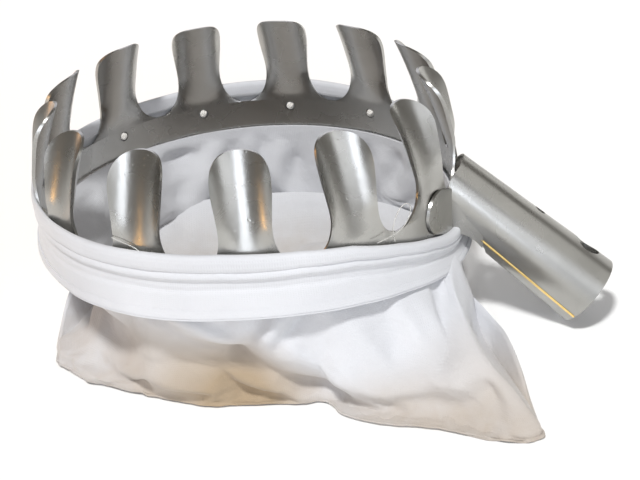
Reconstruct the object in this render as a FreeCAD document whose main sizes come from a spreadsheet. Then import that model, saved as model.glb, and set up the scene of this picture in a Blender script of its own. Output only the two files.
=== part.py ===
import FreeCAD, Part
import math
import os

# Fruit picker basket: a toothed steel ring that combs fruit off the branch, a conical pole socket
# spot-welded to its side, and a cotton bag lashed round it.  Millimetres.  +Z is the ring's axis,
# +X points at the pole socket, and the origin is on the ring's axis, level with the bag's base.

doc = FreeCAD.newDocument("fruit_picker")
vec = FreeCAD.Vector
UP = vec(0, 0, 1)

# ---------------------------------------------------------------- driving dimensions
DIMENSIONS = {
    # toothed ring, one strip of galvanised sheet
    "base_to_gap": 60.5,        # height of the gap bottoms over the bag's base
    "ring_radius": 80.0,        # middle of the strip
    "sheet_gauge": 0.9,
    "tooth_count": 13,
    "band_height": 12.0,        # solid strip below the gap bottoms
    "tooth_length": 41.5,       # along the tooth
    "tooth_waist": 9.8,         # half width just above the gap bottom
    "tooth_head": 11.9,         # half width at the widest
    "tooth_tip": 11.2,          # length of the rounded end
    "gap_depth": 10.4,          # height of the round part of a gap
    "flute_radius": 13.3,       # the tooth's edges curl outwards
    "lean_base": 15.1,          # degrees inwards at the root
    "lean_gain": 9.0,           # degrees more at the tip
    "lace_hole_radius": 2.1,
    "lace_hole_drop": 3.1,      # below the gap bottoms
    # pole socket, rolled from sheet
    "socket_gauge": 1.0,
    "socket_slope": 41.4,       # degrees below the horizontal
    "socket_x": 76.8,           # centre of the square-cut inner end
    "socket_drop": 1.0,         # the same centre, below the gap bottoms
    "socket_small": 11.6,       # outside radius at the inner end
    "socket_mouth": 14.4,       # outside radius at the mouth
    "socket_length": 71.0,
    "seam_turn": 118.0,         # degrees from the top line round to the rolled seam
    "seam_width": 0.5,
    "screw_hole_radius": 2.2,
    "screw_hole_at": 36.3,      # along the socket from its inner end
    "button_hole_radius": 5.6,
    "button_hole_at": 59.0,
    "hole_turn": 14.0,          # degrees from the top line, the other way from the seam
    "cheek_drop": 18.6,         # lower edge of the cheeks, below the gap bottoms
    "cheek_start": 78.0,        # X where the cheeks meet the ring
    "cheek_run": 14.5,          # length of the cheeks along X
    "underside_start": 92.0,    # X where the tube's underside begins
    "ear_half_width": 8.2,
    "ear_slope": 26.0,
    "ear_reach": 24.4,          # sideways from the socket's middle plane to the ear's round end
    "fit_gap": 0.1,             # between the ears and the strip
    # cotton bag and its cuff
    "cloth_gap": 0.35,          # between a cloth solid and its neighbours
    "cuff_wall": 2.4,
    "cuff_top": 8.0,            # above the gap bottoms
    "cuff_foot": 16.0,          # below the gap bottoms
    "cuff_roll": 6.6,           # height of the rolled upper hem
    "roll_proud": 1.0,
    "bag_wall": 1.6,
    "bag_neck": 80.2,           # outside radius under the strip
    "dip_start": 10.0,          # X where the cuff begins to dip under the socket
    "dip_run": 72.0,            # X run over which it reaches the full dip
    "hem_at_socket": 4.2,       # height of the rolled hem where it passes under the socket
    "foot_dip": 14.5,           # dip of the cuff's lower edge under the socket
    "socket_to_cuff": 1.2,      # from the cheeks down to the cuff
    "left_corner_x": -67.0,
    "left_corner_y": -49.0,
    "right_corner_x": 116.0,
    "right_corner_y": -82.0,
    # nylon lashing
    "knot_radius": 1.9,
    "stitch_length": 2.2,       # thread through a lacing hole
    "thread_radius": 0.18,
}

sheet = doc.addObject("Spreadsheet::Sheet", "Dimensions")
for row, (alias, value) in enumerate(DIMENSIONS.items(), start=1):
    sheet.set("A%d" % row, alias)
    sheet.set("B%d" % row, str(value))
    sheet.setAlias("B%d" % row, alias)
doc.recompute()


def size(alias):
    """Value of a driving dimension, read back from the sheet."""
    return float(sheet.get(alias))


def bind(obj, **expressions):
    """Tie properties of an object to expressions in the sheet's aliases."""
    for prop, text in expressions.items():
        obj.setExpression(prop.replace("__", "."), text.replace("$", "Dimensions."))
    return obj


def primitive(kind, name, placement=None, **expressions):
    """Part primitive whose sizes are bound to the sheet."""
    obj = bind(doc.addObject("Part::" + kind, name), **expressions)
    if placement is not None:
        obj.Placement = placement
    return obj


def boolean(kind, name, base, tool):
    """Part::Cut or Part::Common of two objects."""
    obj = doc.addObject("Part::" + kind, name)
    obj.Base = base
    obj.Tool = tool
    obj.Refine = False
    return obj


def fused(name, shapes):
    """One solid from several that touch."""
    obj = doc.addObject("Part::MultiFuse", name)
    obj.Shapes = shapes
    obj.Refine = False
    return obj


def grouped(name, shapes):
    """Several solids kept apart in one object."""
    obj = doc.addObject("Part::Compound", name)
    obj.Links = shapes
    return obj


def feature(name, shape, placement=None):
    """Object with a shape of its own."""
    obj = doc.addObject("Part::Feature", name)
    obj.Shape = shape
    if placement is not None:
        obj.Placement = placement
    return obj


GAP_LEVEL = size("base_to_gap")
RING = size("ring_radius")
COUNT = int(size("tooth_count"))
PITCH = 360.0 / COUNT
PHASE = PITCH / 4        # the socket sits a quarter pitch off a tooth


def about_axis(degrees):
    """Placement that turns a piece about the ring's axis."""
    return FreeCAD.Placement(vec(), FreeCAD.Rotation(UP, degrees))


def wire_of(points):
    """Closed polygon."""
    return Part.makePolygon(points + [points[0]])


def through(points, closed=False):
    """Smooth curve through the points."""
    curve = Part.BSplineCurve()
    curve.interpolate(points, PeriodicFlag=closed)
    return curve.toShape()


def smooth_step(value):
    """0 to 1 with level ends."""
    value = min(1.0, max(0.0, value))
    return value * value * (3 - 2 * value)


# ---------------------------------------------------------------- toothed ring
DRILL_LENGTH = 10.0      # cutter through the strip
BEND_RUN = 5.0           # length of the bend at a tooth's root
FLUTE_RUN = 1.5          # gap depths over which the tooth's curl turns from the ring's to its own
BLADE_STATIONS = (0, 2, 4.5, 8, 12, 17, 24, 32)
BLADE_SPARE = 1.5        # the blade is longer and wider than its outline by this, then trimmed
WIDEST_BLADE = 18.8      # neighbours' blanks stay clear of each other
GAP_SHARES = (0.03, 0.15, 0.4, 0.7, 1.0)
TIP_ANGLES = (25, 45, 62, 76, 86)
ROOT_TONGUE = 1.0        # the outline reaches into the strip by this


def tooth_half_width(along):
    """Half width of a tooth at a distance along it from the gap bottom."""
    depth, length, tip = size("gap_depth"), size("tooth_length"), size("tooth_tip")
    half_pitch = math.pi * RING / COUNT
    gap_radius = half_pitch - size("tooth_waist")
    if along < depth:
        share = 1 - max(0.0, along) / depth
        return half_pitch - gap_radius * math.sqrt(1 - share ** 2)
    if along <= length - tip:
        share = smooth_step((along - depth) / (length - tip - depth))
        return size("tooth_waist") + (size("tooth_head") - size("tooth_waist")) * share
    share = min(1.0, (along - length + tip) / tip)
    return size("tooth_head") * math.sqrt(1 - share ** 2)


def tooth_lean(along):
    """Inward lean in radians: a bend above the gap bottom, then slowly more towards the tip."""
    gain = size("lean_gain") * (along / size("tooth_length")) ** 2
    return math.radians(size("lean_base") * smooth_step(along / BEND_RUN) + gain)


def tooth_station(along):
    """Radius, height, lean and outward curl of a tooth at a distance along it."""
    radius, height, steps = RING, 0.0, 60
    for step in range(steps):
        at = along * (step + 0.5) / steps
        lean = tooth_lean(at)
        radius -= math.sin(lean) * along / steps
        height += math.cos(lean) * along / steps
    lean = tooth_lean(along)
    blend = smooth_step(along / (FLUTE_RUN * size("gap_depth")))
    curl = (1 - blend) / RING - blend / size("flute_radius")
    return radius, height, lean, curl


def on_tooth(along, sideways, offset=0.0):
    """Point of the tooth centred on +X: sideways is measured along its curled section."""
    radius, height, lean, curl = tooth_station(along)
    curl = curl if abs(curl) > 1e-4 else 1e-4
    turn = sideways * curl
    reach = math.sin(turn) * (1 / curl + offset)
    rise = offset * math.cos(turn) - (1 - math.cos(turn)) / curl
    return vec(radius + rise * math.cos(lean), reach,
               GAP_LEVEL + height + rise * math.sin(lean))


def tooth_blade():
    """One tooth on +X: a lofted fluted strip trimmed to the tooth's outline."""
    half = size("sheet_gauge") / 2
    length = size("tooth_length")
    sections = []
    for along in BLADE_STATIONS + (length + BLADE_SPARE,):
        measured = min(max(0.3, along - BLADE_SPARE), length - size("tooth_tip"))
        wide = min(tooth_half_width(measured) + BLADE_SPARE, WIDEST_BLADE)
        inner = [on_tooth(along, side, -half) for side in (-wide, 0, wide)]
        outer = [on_tooth(along, side, half) for side in (-wide, 0, wide)]
        sections.append(Part.Wire([Part.Arc(*outer).toShape(),
                                   Part.LineSegment(outer[2], inner[2]).toShape(),
                                   Part.Arc(*inner[::-1]).toShape(),
                                   Part.LineSegment(inner[0], outer[0]).toShape()]))
    strip = Part.makeLoft(sections, True, False)
    depth, tip_start = size("gap_depth"), length - size("tooth_tip")
    stations = [depth * share for share in GAP_SHARES]
    stations += [depth + (tip_start - depth) * share for share in (1 / 3, 2 / 3, 1)]
    stations += [tip_start + size("tooth_tip") * math.sin(math.radians(a)) for a in TIP_ANGLES]
    side = [on_tooth(along, tooth_half_width(along)) for along in stations]
    tip = on_tooth(length, 0)
    flat = [vec(0, p.y, p.z) for p in side]
    mirror = [vec(0, -p.y, p.z) for p in reversed(flat)]
    crown = through(flat + [vec(0, 0, tip.z)] + mirror)
    root = GAP_LEVEL - ROOT_TONGUE
    feet = [mirror[-1], vec(0, mirror[-1].y, root), vec(0, flat[0].y, root), flat[0]]
    outline = Part.Wire([crown] + Part.makePolygon(feet).Edges)
    prism = Part.Face(outline).extrude(vec(2 * RING, 0, 0))
    return strip.common(prism)


def annulus(name, outer, inner, foot, tall):
    """Plain sleeve about the ring's axis; radii, foot and height are sheet expressions."""
    big = primitive("Cylinder", name + "_outer", Radius=outer, Height=tall,
                    Placement__Base__z=foot)
    small = primitive("Cylinder", name + "_inner", Radius=inner, Height=tall + " + 2",
                      Placement__Base__z=foot + " - 1")
    return boolean("Cut", name, big, small)


def picker_ring():
    """The strip, its teeth and a lacing hole under each tooth."""
    band = annulus("strip", "$ring_radius + $sheet_gauge / 2", "$ring_radius - $sheet_gauge / 2",
                   "$base_to_gap - $band_height", "$band_height")
    blade = tooth_blade()
    teeth = [feature("tooth_%d" % number, blade, about_axis(PHASE + number * PITCH))
             for number in range(COUNT)]
    whole = fused("ring_blank", [band] + teeth)
    holes = []
    for number in range(COUNT):
        angle = PHASE + number * PITCH
        inside = vec(RING - DRILL_LENGTH / 2, 0, GAP_LEVEL - size("lace_hole_drop"))
        spot = about_axis(angle).multVec(inside)
        turn = FreeCAD.Rotation(UP, about_axis(angle).multVec(vec(1, 0, 0)))
        holes.append(primitive("Cylinder", "lace_hole_%d" % number, FreeCAD.Placement(spot, turn),
                               Radius="$lace_hole_radius", Height=str(DRILL_LENGTH)))
    ring = boolean("Cut", "toothed_ring", whole, grouped("lace_holes", holes))
    ring.Label = "toothed_ring"
    return ring


# ---------------------------------------------------------------- pole socket
SLOPE = math.radians(size("socket_slope"))
SOCKET_AXIS = vec(math.cos(SLOPE), 0, -math.sin(SLOPE))
SOCKET_TOP = vec(math.sin(SLOPE), 0, math.cos(SLOPE))
SOCKET_START = vec(size("socket_x"), 0, GAP_LEVEL - size("socket_drop"))
SOCKET_TURN = FreeCAD.Rotation(UP, SOCKET_AXIS)
SEAM_START = 24.0        # along the socket, where the rolled edges part
CHEEK_INSET = 1.4        # the neck between the cheeks is cut this far in from the tube's side
CHEEK_PROUD = 0.35       # the cheeks' outer faces stand out from the tube's inner end
BACK_X = 50.0            # cutters start behind the ring's wall
LOW_Z = -60.0            # and reach below the tube


def along_socket(distance, up=0.0):
    """Point at a distance along the socket's axis and up from it."""
    return SOCKET_START + SOCKET_AXIS * distance + SOCKET_TOP * up


def drilled(name, distance, radius):
    """Round cutter through the wall near the top line of the socket."""
    outward = FreeCAD.Rotation(SOCKET_AXIS, -size("hole_turn")).multVec(SOCKET_TOP)
    place = FreeCAD.Placement(along_socket(distance) + outward * DRILL_LENGTH / 2,
                              FreeCAD.Rotation(UP, outward))
    return primitive("Cylinder", name, place, Radius=radius, Height=str(2 * DRILL_LENGTH))


def side_plate(name, outline, low, high):
    """Plate with an outline in the XZ plane, from one sideways distance to another."""
    face = Part.Face(wire_of([vec(x, low, GAP_LEVEL + z) for x, z in outline]))
    return feature(name, face.extrude(vec(0, high - low, 0)))


def cheek_curve(drop, start):
    """Lower edge of a cheek: level from the ring, then curling down into the tube's underside."""
    return [(start, -drop), (start + 5.5, -drop), (start + 8.4, -drop - 1.0),
            (start + 11.2, -drop - 3.2), (start + 13.4, -drop - 5.8)]


def socket_blank():
    """The tube with its underside cut back, and the two cheeks that carry it to the ring."""
    gauge, small = size("socket_gauge"), size("socket_small")
    drop, start, run = size("cheek_drop"), size("cheek_start"), size("cheek_run")
    begin = size("underside_start")
    body = primitive("Cone", "socket_outer", FreeCAD.Placement(SOCKET_START, SOCKET_TURN),
                     Radius1="$socket_small", Radius2="$socket_mouth", Height="$socket_length")
    clear = [(BACK_X, -drop), (start + 5.5, -drop), (start + 9.5, -drop - 1.8),
             (begin - 1.4, -drop - 4.6), (begin, -drop - 8), (begin, LOW_Z), (BACK_X, LOW_Z)]
    notch = side_plate("socket_notch", clear, -2 * small, 2 * small)
    neck = [(BACK_X, -2.5), (start + 2, -2.5), (start + 10, -drop), (start + 10, LOW_Z), (BACK_X, LOW_Z)]
    between = side_plate("socket_neck", neck, CHEEK_INSET - small, small - CHEEK_INSET)
    tube = boolean("Cut", "socket_tube", body, notch)
    tube = boolean("Cut", "socket_tube_open", tube, between)
    wall = small + CHEEK_PROUD
    top = -size("socket_drop") - 0.2
    outline = [(start, top), (start + run, top - run)] + cheek_curve(drop, start)[::-1]
    near = side_plate("cheek_near", outline, -wall, -wall + gauge)
    far = side_plate("cheek_far", outline, wall - gauge, wall)
    return fused("socket_blank", [tube, near, far]), wall


def ears(wall):
    """The two welded ears, bent round the outside of the strip."""
    inner = "$ring_radius + $sheet_gauge / 2 + $fit_gap"
    shell = annulus("ear_shell", inner + " + $socket_gauge", inner, "$base_to_gap - 40", "60")
    return boolean("Common", "ears", shell, ear_outlines(wall))


def seam_cutter():
    """Thin box along the line where the rolled sheet's edges meet."""
    turn = FreeCAD.Rotation(SOCKET_AXIS, size("seam_turn"))
    across = turn.multVec(SOCKET_TOP)
    aside = SOCKET_AXIS.cross(across)
    spot = along_socket(SEAM_START) - aside * size("seam_width") / 2
    place = FreeCAD.Placement(spot, FreeCAD.Rotation(SOCKET_AXIS, aside, across, "XZY"))
    return primitive("Box", "seam", place, Length="$socket_length", Width="$seam_width",
                     Height="2 * $socket_mouth")


def pole_socket():
    """Tapered tube rolled from one sheet, with its cheeks, ears, seam and two round holes."""
    solid, wall = socket_blank()
    bore = primitive("Cone", "socket_bore", FreeCAD.Placement(along_socket(-1), SOCKET_TURN),
                     Radius1="$socket_small - $socket_gauge", Radius2="$socket_mouth - $socket_gauge",
                     Height="$socket_length + 2")
    solid = boolean("Cut", "socket_hollow", solid, bore)
    solid = boolean("Cut", "socket_trimmed", solid, ring_side())
    solid = fused("socket_eared", [solid, ears(wall)])
    for name, at, radius in (("screw_hole", "screw_hole_at", "$screw_hole_radius"),
                             ("button_hole", "button_hole_at", "$button_hole_radius")):
        solid = boolean("Cut", "with_" + name, solid, drilled(name, size(at), radius))
    socket = boolean("Cut", "pole_socket", solid, seam_cutter())
    socket.Label = "pole_socket"
    return socket


def ring_side():
    """Everything inside the ears' inner face."""
    return primitive("Cylinder", "ring_side", Radius="$ring_radius + $sheet_gauge / 2 + $fit_gap",
                     Height="$base_to_gap + 60")


def ear_outlines(wall):
    """Both ears' outlines, seen along X: a sloping strip with a round end."""
    slope, half, reach = math.radians(size("ear_slope")), size("ear_half_width"), size("ear_reach")
    low = -size("cheek_drop")
    high = low + 2 * half / math.cos(slope)
    centre = vec(0, -reach, GAP_LEVEL + (low + high) / 2 + (reach - wall) * math.tan(slope))
    normal = vec(0, math.sin(slope), math.cos(slope)) * half
    tip = centre + vec(0, -math.cos(slope), math.sin(slope)) * half
    inner = -wall + size("socket_gauge")
    edge = Part.Arc(centre + normal, tip, centre - normal).toShape()
    feet = [centre - normal, vec(0, inner, GAP_LEVEL + low), vec(0, inner, GAP_LEVEL + high),
            centre + normal]
    face = Part.Face(Part.Wire([edge] + Part.makePolygon(feet).Edges))
    near = feature("ear_outline_near", face.extrude(vec(2 * RING, 0, 0)))
    far = feature("ear_outline_far", near.Shape.mirror(vec(), vec(0, 1, 0)))
    return grouped("ear_outlines", [near, far])


# ---------------------------------------------------------------- cuff
def cuff_profile(name, upper, lower):
    """Prism along Y whose XZ outline lies between two edge curves of the cuff."""
    top = [vec(x, 0, GAP_LEVEL + z) for x, z in upper]
    foot = [vec(x, 0, GAP_LEVEL + z) for x, z in lower]
    edges = [through(top), Part.LineSegment(top[-1], foot[-1]).toShape(),
             through(foot[::-1]), Part.LineSegment(foot[0], top[0]).toShape()]
    face = Part.Face(Part.Wire(edges))
    face.translate(vec(0, -120, 0))
    return feature(name, face.extrude(vec(0, 240, 0)))


def cuff_edge(level, dip):
    """An edge of the cuff seen from the side: level, then dipping to pass under the socket."""
    shape = ((-100, 0), (-40, 0), (10, 0), (37, 0.08), (53, 0.2), (67, 0.42), (76, 0.63), (82, 0.84),
             (90, 1.1))
    return [(x, level - dip * share) for x, share in shape]


def cuff(name, wall, upper, lower):
    """Sleeve round the strip, cut to its two edge curves."""
    inner = "$ring_radius + $sheet_gauge / 2 + $cloth_gap"
    sleeve = annulus(name + "_sleeve", inner + " + " + wall, inner, "$base_to_gap - 40", "55")
    piece = boolean("Common", name, sleeve, cuff_profile(name + "_profile", upper, lower))
    piece.Label = name
    return piece


def dip_share(x):
    """How far a place on the cuff is into its dip under the socket."""
    return smooth_step((x - size("dip_start")) / size("dip_run"))


def cuff_pieces():
    """The rolled hem that stands up round the teeth, and the plain facing below it."""
    top, foot, roll = size("cuff_top"), size("cuff_foot"), size("cuff_roll")
    dip = top + size("cheek_drop") + size("socket_to_cuff")
    thinner = roll - size("hem_at_socket")
    hem_foot = [(x, z - roll + thinner * dip_share(x)) for x, z in cuff_edge(top, dip)]
    upper = cuff("cuff_rolled_hem", "$cuff_wall + $roll_proud", cuff_edge(top, dip), hem_foot)
    facing_top = [(x, z - size("cloth_gap")) for x, z in hem_foot]
    lower = cuff("cuff_facing", "$cuff_wall", facing_top, cuff_edge(-foot, size("foot_dip")))
    return [upper, lower]


# ---------------------------------------------------------------- bag
FRONT_OUTLINE = ((-62, -59), (-32, -69), (8, -72), (45, -75), (82, -82), (107, -88))
BACK_OUTLINE = ((101, -40), (90, -5), (80, 28), (52, 60), (6, 76), (-42, 66), (-73, 34), (-82, -8))
PULL_RUN = 60.0          # X run over which the side away from the socket is drawn in
SEAM_TOP = vec(0, 12, GAP_LEVEL)


def footprint(inset):
    """Outline of the bag where it is widest, with its two sewn corners at the front."""
    left = vec(size("left_corner_x"), size("left_corner_y"), 0)
    right = vec(size("right_corner_x"), size("right_corner_y"), 0)
    front = [vec(x, y, 0) for x, y in FRONT_OUTLINE]
    back = [vec(x, y, 0) for x, y in BACK_OUTLINE]
    middle = vec(6, 0, 0)
    ring = [left] + front + [right] + back
    return [p - (p - middle).normalize() * inset for p in ring]


def bag_section(height, share_out, pull, inset):
    """Closed section of the bag: the round neck (share 0) blending to the footprint (share 1).

    The pull draws the side away from the socket in by that share of its reach.
    """
    neck = size("bag_neck") - inset
    points = []
    for p in footprint(inset):
        angle = math.atan2(p.y, p.x)
        round_point = vec(neck * math.cos(angle), neck * math.sin(angle), 0)
        point = round_point + (p - round_point) * share_out
        if point.x < 0:
            point.x *= 1 - pull * smooth_step(-point.x / PULL_RUN)
        points.append(point + UP * height)
    return Part.Wire(through(points, closed=True))


def bag_loft(inset, floor):
    """Solid bag form, inset all round and raised off the floor; each level is height, share, pull."""
    neck_top = GAP_LEVEL - size("band_height") - size("cloth_gap")
    levels = [(neck_top + inset, 0.0, 0.0), (neck_top - 7, 0.0, 0.05), (33, 0.12, 0.2),
              (22, 0.45, 0.2), (11, 0.88, 0.08), (5, 1.0, 0.02), (1.5 + floor, 0.985, 0.0),
              (floor, 0.955, 0.0)]
    sections = [bag_section(height, out, pull, inset) for height, out, pull in levels]
    return Part.makeLoft(sections, True, False)


def bag_panels():
    """The bag's shell, cut along its seams into a front and a back panel."""
    wall = size("bag_wall")
    shell = bag_loft(0.0, 0.0).cut(bag_loft(wall, wall))
    # the seams lie in one slanting plane: along the front of the base, then up both sides
    left = vec(size("left_corner_x"), size("left_corner_y") - 4, 3)
    right = vec(size("right_corner_x"), size("right_corner_y") - 4, 3)
    normal = (right - left).cross(SEAM_TOP - left).normalize()
    if normal.y > 0:
        normal = normal * -1
    reach = 400
    slab = Part.makeBox(reach, reach, reach, vec(-reach / 2, -reach / 2, 0))
    slab.Placement = FreeCAD.Placement(left, FreeCAD.Rotation(UP, normal))
    split = slab.copy()
    split.translate(normal * size("cloth_gap") * -1)
    front = feature("bag_front_panel", shell.common(slab))
    back = feature("bag_back_panel", shell.cut(split))
    return [front, back]


# ---------------------------------------------------------------- nylon lashing
LASHED = [number for number in range(COUNT) if number not in (0, COUNT - 1)]


def lashing_knots():
    """A knot in each lacing hole that the socket leaves free."""
    knots = []
    for number in LASHED:
        angle = PHASE + number * PITCH
        turn = about_axis(angle)
        spot = turn.multVec(vec(RING - 1.6, 0, GAP_LEVEL - size("lace_hole_drop")))
        outward = turn.multVec(vec(1, 0, 0))
        knot = primitive("Sphere", "knot_%d" % number, FreeCAD.Placement(spot, FreeCAD.Rotation()),
                         Radius="$knot_radius")
        stitch = primitive("Cylinder", "stitch_%d" % number,
                           FreeCAD.Placement(spot, FreeCAD.Rotation(UP, outward)),
                           Radius="$knot_radius * 0.6", Height="$stitch_length")
        knots.append(fused("lashing_%d" % number, [knot, stitch]))
    group = grouped("lashing_knots", knots)
    group.Label = "lashing_knots"
    return group


CORNER_SHARE = 0.45      # of the shorter run, taken by each corner's arc


def rounded_path(points):
    """Straight runs joined by tangent arcs."""
    edges, last, radii = [], points[0], []
    for before, corner, after in zip(points, points[1:], points[2:]):
        back, ahead = before - corner, after - corner
        shorter = min(back.Length, ahead.Length)
        turn = math.pi - back.getAngle(ahead)
        cut = CORNER_SHARE * shorter
        radii.append(cut / math.tan(turn / 2))
        start = corner + back.normalize() * cut
        end = corner + ahead.normalize() * cut
        toward = (start + end) * 0.5 - corner
        middle = corner + toward.normalize() * (radii[-1] / math.cos(turn / 2) - radii[-1])
        edges += [Part.LineSegment(last, start).toShape(), Part.Arc(start, middle, end).toShape()]
        last = end
    edges.append(Part.LineSegment(last, points[-1]).toShape())
    return Part.Wire(edges), radii


def thread(name, points):
    """Round tube of thread along a route."""
    path, radii = rounded_path(points)
    radius = size("thread_radius")
    first = path.Edges[0]
    circle = Part.makeCircle(radius, first.Vertexes[0].Point, first.tangentAt(first.FirstParameter))
    tube = path.makePipeShell([Part.Wire(circle)], True, False)
    print(name, "length %.1f" % path.Length, "smallest bend %.1f" % min(radii),
          "volume ratio %.3f" % (tube.Volume / (math.pi * radius ** 2 * path.Length)))
    return feature(name, tube)


# the loop stands up through a gap; the tail runs behind the hem from one lacing hole, then crosses
# the face of the next tooth
LOOP_ROUTE = [
    vec(64.9, -50.2, 58.2), vec(64.4, -51.0, 62.2), vec(65.0, -50.4, 66.0), vec(66.6, -48.6, 69.8),
    vec(68.8, -45.8, 71.2), vec(70.3, -43.6, 69.0), vec(69.6, -44.8, 64.8), vec(67.0, -48.4, 61.6),
    vec(63.4, -53.0, 61.0), vec(59.9, -57.0, 60.9),
]
TAIL_ROUTE = [
    vec(19.3, -78.4, 57.4), vec(14.0, -79.5, 58.2), vec(7.7, -80.3, 59.3), vec(1.4, -80.7, 60.0),
    vec(-4.9, -80.6, 60.7), vec(-10.1, -80.1, 61.8), vec(-13.2, -79.7, 63.2), vec(-16.0, -79.3, 65.0),
    vec(-18.4, -78.3, 67.0), vec(-21.0, -77.3, 68.5), vec(-24.6, -76.9, 69.8), vec(-28.6, -77.0, 71.9),
]

parts = [picker_ring(), pole_socket()] + cuff_pieces() + bag_panels()
parts += [lashing_knots(), thread("thread_loop", LOOP_ROUTE), thread("thread_tail", TAIL_ROUTE)]
doc.recompute()

for obj in doc.Objects:
    if "Invalid" in obj.State or "Error" in obj.State:
        raise RuntimeError("%s failed: %s" % (obj.Label, obj.State))

os.makedirs("parts", exist_ok=True)
for part in parts:
    shape = part.Shape
    if shape.isNull() or not shape.isValid():
        raise RuntimeError("%s has no valid shape" % part.Label)
    shape.exportStep("parts/%s.step" % part.Label)
    box = shape.BoundBox
    spans = ((box.XMin, box.XMax), (box.YMin, box.YMax), (box.ZMin, box.ZMax))
    print("%-18s %2d solids %9.0f mm3 " % (part.Label, len(shape.Solids), shape.Volume),
          " ".join("%.1f..%.1f" % span for span in spans))
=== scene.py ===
"""Looks of the fruit picker basket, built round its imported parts.

A crown of galvanised sheet combs the fruit off, a tapered tube socket takes the pole, and a
cotton cuff and catching bag hang from the crown, lashed on with nylon thread.
Sizes are in millimetres unless a name says otherwise, and Blender's objects are in metres.
"""

import logging
import math
import random
from dataclasses import dataclass, field
from enum import Enum
from typing import Callable

import bpy
import numpy as np
from mathutils import Matrix, Vector, noise


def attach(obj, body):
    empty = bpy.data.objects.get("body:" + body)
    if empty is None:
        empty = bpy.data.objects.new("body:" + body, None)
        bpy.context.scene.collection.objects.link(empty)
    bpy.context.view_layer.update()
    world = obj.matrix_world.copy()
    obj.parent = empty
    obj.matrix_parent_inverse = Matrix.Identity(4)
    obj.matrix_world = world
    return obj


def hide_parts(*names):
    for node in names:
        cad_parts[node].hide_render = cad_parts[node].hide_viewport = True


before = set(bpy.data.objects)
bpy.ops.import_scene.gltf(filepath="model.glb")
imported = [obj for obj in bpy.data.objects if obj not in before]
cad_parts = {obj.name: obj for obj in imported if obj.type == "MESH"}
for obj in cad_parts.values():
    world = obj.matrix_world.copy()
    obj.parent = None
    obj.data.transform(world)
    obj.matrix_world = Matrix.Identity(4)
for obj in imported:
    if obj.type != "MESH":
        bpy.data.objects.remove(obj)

MM = 0.001
LOG = logging.getLogger("fruit_picker")
BODY = "root"
GAP_LEVEL = 60.5            # height of the bottoms of the gaps between the teeth
RING_RADIUS = 80.0          # middle of the crown's strip
TOOTH_COUNT = 13
TOOTH_PITCH = 2 * math.pi / TOOTH_COUNT
FIRST_TOOTH = TOOTH_PITCH / 4
OUTLINE_STEPS = 200         # even steps along each of the bag's outlines


class Slot(Enum):
    """Material slots of the part's record."""

    SOCKET = "socket_steel"
    CUFF = "cuff_cotton"
    BAG = "bag_cotton"
    LASHING = "lashing_thread"
    NYLON = "nylon_thread"


class Side(Enum):
    """The bag's two panels: the front wall, and the back wall that runs on under the bag."""

    FRONT = "bag_front"
    BACK = "bag_back"


# ------------------------------------------------------------------ shared helpers
def linear(colour: str) -> tuple[float, float, float, float]:
    """Turn an sRGB hex colour into linear RGBA.

    Args:
        colour: Six hex digits after a hash.

    Returns:
        Linear red, green and blue, and an alpha of one.
    """
    parts = [int(colour[i:i + 2], 16) / 255 for i in (1, 3, 5)]
    return (*[p / 12.92 if p <= 0.04045 else ((p + 0.055) / 1.055) ** 2.4 for p in parts], 1.0)


def smooth(value: float) -> float:
    """Step from 0 to 1 with level ends."""
    value = min(1.0, max(0.0, value))
    return value * value * (3 - 2 * value)


def ramp(value: float, stations: tuple[tuple[float, float], ...]) -> float:
    """Read a value off straight lines between stations.

    Args:
        value: Place along the stations.
        stations: Pairs of place and reading, in rising order of place.

    Returns:
        The reading at that place.
    """
    places, readings = zip(*stations)
    return float(np.interp(value, places, readings))


def bell(value: float, middle: float, width: float) -> float:
    """Rise to 1 at the middle and fall off over the width to each side."""
    return math.exp(-((value - middle) / width) ** 2)


def wander(x: float, y: float, z: float) -> float:
    """Smooth noise from about -1 to 1 at a point whose unit is one ripple."""
    return noise.noise(Vector((x, y, z)))


def deselect() -> None:
    """Leave nothing selected, so that the next operator acts on the new piece alone."""
    if bpy.context.object and bpy.context.object.mode != "OBJECT":
        bpy.ops.object.mode_set(mode="OBJECT")
    bpy.ops.object.select_all(action="DESELECT")


def pick(piece: bpy.types.Object) -> None:
    """Select one piece and make it the active one."""
    deselect()
    piece.select_set(True)
    bpy.context.view_layer.objects.active = piece


def apply_modifier(piece: bpy.types.Object, kind: str, **settings: object) -> None:
    """Add a modifier to a piece and apply it.

    Args:
        piece: The object to change.
        kind: Blender's name of the modifier's type.
        settings: Its attributes and their values.
    """
    pick(piece)
    modifier = piece.modifiers.new(kind.title(), kind)
    for name, value in settings.items():
        setattr(modifier, name, value)
    bpy.ops.object.modifier_apply(modifier=modifier.name)


def tidy_mesh(piece: bpy.types.Object, merge: float = 0.02) -> None:
    """Merge a mesh's doubled points and turn its faces outward.

    Args:
        piece: The mesh object.
        merge: Distance below which points become one.
    """
    pick(piece)
    bpy.ops.object.mode_set(mode="EDIT")
    bpy.ops.mesh.select_all(action="SELECT")
    bpy.ops.mesh.remove_doubles(threshold=merge * MM)
    bpy.ops.mesh.normals_make_consistent(inside=False)
    bpy.ops.object.mode_set(mode="OBJECT")


def smooth_shade(piece: bpy.types.Object, angle: float = 40.0) -> None:
    """Shade a piece smooth except over sharp edges."""
    pick(piece)
    bpy.ops.object.shade_smooth_by_angle(angle=math.radians(angle))


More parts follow.
